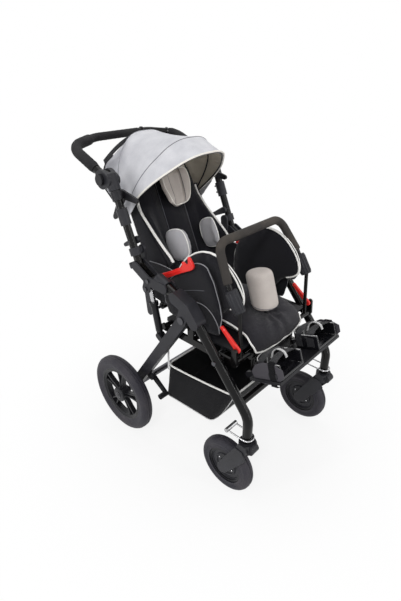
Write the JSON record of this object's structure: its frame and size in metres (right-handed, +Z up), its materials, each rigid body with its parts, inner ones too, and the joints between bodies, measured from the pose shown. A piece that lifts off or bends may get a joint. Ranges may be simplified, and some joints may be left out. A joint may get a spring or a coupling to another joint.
{
  "type": "special needs buggy",
  "caption": "Folding special needs buggy with padded seat, side wings, canopy, bumper bar, footplate with foot sandals, tilting push handle, basket, swivel casters and large rear wheels.",
  "frame": {"origin": "on the floor, midway between the rear axle and the caster stems, in the plane of symmetry", "axes": "+Z up, -Y to the front where the sitter looks, -X to the sitter's right"},
  "size_m": [0.6088, 0.8589, 1.039],
  "materials": {
    "frame_black": "gloss black coated tube",
    "graphite": "satin dark grey moulded plastic",
    "steel": "bright plated steel",
    "fabric_black": "black woven cover",
    "fabric_silver": "silver grey woven cover",
    "fabric_grey": "warm grey brushed cover",
    "foam_black": "black foam",
    "foam_brown": "brown grey foam",
    "red": "red moulded plastic",
    "black_plastic": "black moulded plastic",
    "tyre": "grey black rubber"
  },
  "bodies": {
    "chassis": {"front_legs": "frame_black", "hub_housings": "graphite", "knuckles": "graphite", "seat_frame": "frame_black", "front_cross_tube": "frame_black", "seat_pan": "black_plastic", "seat_cushion": "fabric_black", "side_wings": "fabric_black", "side_panels": "fabric_black", "bar_sockets": "graphite", "basket": "fabric_black", "frame_bolts": "steel"},
    "pommel": {"pommel_post": "steel", "pommel_pad": "fabric_grey"},
    "upper_frame": {"uprights": "frame_black", "handle_housings": "graphite", "upright_sleeves": "graphite", "recline_brackets": "graphite", "canopy_stays": "black_plastic", "canopy_rear_bow": "black_plastic", "canopy_cover": "fabric_silver"},
    "fold_latch": {"fold_latches": "graphite"},
    "handle": {"push_handle": "frame_black", "handle_grips": "foam_black"},
    "button_right": {"handle_button_right": "black_plastic"},
    "button_left": {"handle_button_left": "black_plastic"},
    "backrest": {"backrest_frame": "frame_black", "backrest_cushion": "fabric_black", "lateral_pads": "fabric_grey"},
    "headrest": {"headrest_plate": "black_plastic", "headrest_pad": "fabric_grey"},
    "canopy_mid": {"canopy_mid_bow": "black_plastic"},
    "canopy_front": {"canopy_front_bow": "black_plastic"},
    "bumper": {"bumper_bar": "frame_black", "bumper_foam": "foam_brown"},
    "legrest": {"legrest_frame": "frame_black", "calf_pad": "fabric_black"},
    "foot_support": {"footplate": "black_plastic", "foot_sandals": "black_plastic"},
    "recline_lever": {"recline_levers": "red"},
    "legrest_lever": {"legrest_levers": "red"},
    "rear_legs": {"rear_struts": "graphite", "rear_axle": "steel"},
    "brace_upper": {"brace_rods": "steel"},
    "brace_lower": {"brace_tubes": "black_plastic"},
    "brake": {"brake_levers": "black_plastic"},
    "rear_wheel_right": {"rear_rim_right": "black_plastic", "rear_tyre_right": "tyre"},
    "rear_wheel_left": {"rear_rim_left": "black_plastic", "rear_tyre_left": "tyre"},
    "fork_right": {"caster_fork_right": "graphite"},
    "fork_left": {"caster_fork_left": "graphite"},
    "caster_wheel_right": {"caster_rim_right": "black_plastic", "caster_tyre_right": "tyre"},
    "caster_wheel_left": {"caster_rim_left": "black_plastic", "caster_tyre_left": "tyre"},
    "lock_right": {"swivel_lock_right": "steel"},
    "lock_left": {"swivel_lock_left": "steel"}
  },
  "joints": [
    {"name": "pommel_slide", "type": "slide", "parent": "chassis", "child": "pommel", "axis": [0, 0.2198, 0.9755], "range_m": [0, 0.03]},
    {"name": "upper_fold", "type": "hinge", "parent": "chassis", "child": "upper_frame", "pos_m": [0, 0.12, 0.653], "axis": [-1, 0, 0], "range_deg": [-60, 0]},
    {"name": "latch_lift", "type": "hinge", "parent": "upper_frame", "child": "fold_latch", "pos_m": [0, 0.20721, 0.75416], "axis": [1, 0, 0], "range_deg": [0, 20], "stiffness_Nm_per_rad": 0.6},
    {"name": "handle_tilt", "type": "hinge", "parent": "upper_frame", "child": "handle", "pos_m": [0, 0.30622, 0.92957], "axis": [1, 0, 0], "range_deg": [-60, 45]},
    {"name": "button_right_press", "type": "slide", "parent": "upper_frame", "child": "button_right", "axis": [1, 0, 0], "range_m": [0, 0.0035], "stiffness_N_per_m": 400},
    {"name": "button_left_press", "type": "slide", "parent": "upper_frame", "child": "button_left", "axis": [-1, 0, 0], "range_m": [0, 0.0035], "stiffness_N_per_m": 400},
    {"name": "recline", "type": "hinge", "parent": "upper_frame", "child": "backrest", "pos_m": [0, 0.175, 0.505], "axis": [-1, 0, 0], "range_deg": [0, 30]},
    {"name": "headrest_height", "type": "slide", "parent": "backrest", "child": "headrest", "axis": [0, 0.3843, 0.9232], "range_m": [0, 0.06]},
    {"name": "canopy_fold", "type": "hinge", "parent": "upper_frame", "child": "canopy_front", "pos_m": [0, 0.31351, 0.80412], "axis": [-1, 0, 0], "range_deg": [0, 58], "deforming": ["canopy_cover"]},
    {"name": "canopy_mid_follow", "type": "hinge", "parent": "upper_frame", "child": "canopy_mid", "pos_m": [0, 0.31351, 0.80412], "axis": [-1, 0, 0], "range_deg": [0, 45]},
    {"name": "bumper_lift", "type": "slide", "parent": "chassis", "child": "bumper", "axis": [0, 0.5299, 0.848], "range_m": [0, 0.1]},
    {"name": "legrest_angle", "type": "hinge", "parent": "chassis", "child": "legrest", "pos_m": [0, -0.186, 0.454], "axis": [-1, 0, 0], "range_deg": [-15, 8]},
    {"name": "footplate_angle", "type": "hinge", "parent": "legrest", "child": "foot_support", "pos_m": [0, -0.186, 0.3895], "axis": [1, 0, 0], "range_deg": [0, 25]},
    {"name": "recline_lever_lift", "type": "hinge", "parent": "chassis", "child": "recline_lever", "pos_m": [0, 0.12, 0.648], "axis": [-1, 0, 0], "range_deg": [0, 20], "stiffness_Nm_per_rad": 0.6},
    {"name": "legrest_lever_pull", "type": "hinge", "parent": "chassis", "child": "legrest_lever", "pos_m": [0, -0.192, 0.518], "axis": [1, 0, 0], "range_deg": [0, 20], "stiffness_Nm_per_rad": 0.6},
    {"name": "rear_leg_fold", "type": "hinge", "parent": "chassis", "child": "rear_legs", "pos_m": [0, -0.02, 0.57], "axis": [-1, 0, 0], "range_deg": [0, 38]},
    {"name": "brace_swing", "type": "hinge", "parent": "chassis", "child": "brace_upper", "pos_m": [0, 0.132, 0.622], "axis": [-1, 0, 0], "range_deg": [0, 20]},
    {"name": "brace_slide", "type": "slide", "parent": "brace_upper", "child": "brace_lower", "axis": [0, -0.1975, -0.9803], "range_m": [0, 0.084]},
    {"name": "brake_lift", "type": "hinge", "parent": "rear_legs", "child": "brake", "pos_m": [0, 0.17123, 0.24025], "axis": [-1, 0, 0], "range_deg": [0, 25]},
    {"name": "rear_spin_right", "type": "hinge", "parent": "rear_legs", "child": "rear_wheel_right", "pos_m": [-0.279, 0.27, 0.15], "axis": [1, 0, 0], "continuous": true},
    {"name": "rear_spin_left", "type": "hinge", "parent": "rear_legs", "child": "rear_wheel_left", "pos_m": [0.279, 0.27, 0.15], "axis": [1, 0, 0], "continuous": true},
    {"name": "swivel_right", "type": "hinge", "parent": "chassis", "child": "fork_right", "pos_m": [-0.226, -0.27, 0.24], "axis": [0, 0, 1], "continuous": true},
    {"name": "swivel_left", "type": "hinge", "parent": "chassis", "child": "fork_left", "pos_m": [0.226, -0.27, 0.24], "axis": [0, 0, 1], "continuous": true},
    {"name": "caster_spin_right", "type": "hinge", "parent": "fork_right", "child": "caster_wheel_right", "pos_m": [-0.226, -0.199, 0.0975], "axis": [1, 0, 0], "continuous": true},
    {"name": "caster_spin_left", "type": "hinge", "parent": "fork_left", "child": "caster_wheel_left", "pos_m": [0.226, -0.199, 0.0975], "axis": [1, 0, 0], "continuous": true},
    {"name": "lock_right_lift", "type": "hinge", "parent": "chassis", "child": "lock_right", "pos_m": [-0.226, -0.265, 0.262], "axis": [1, 0, 0], "range_deg": [0, 20]},
    {"name": "lock_left_lift", "type": "hinge", "parent": "chassis", "child": "lock_left", "pos_m": [0.226, -0.265, 0.262], "axis": [1, 0, 0], "range_deg": [0, 20]}
  ],
  "couplings": [
    {"joint": "brace_swing", "follows": "rear_leg_fold", "ratio": 0.515},
    {"joint": "brace_slide", "follows": "rear_leg_fold", "m_per_rad": 0.1249},
    {"joint": "canopy_mid_follow", "follows": "canopy_fold", "ratio": 0.77576}
  ]
}
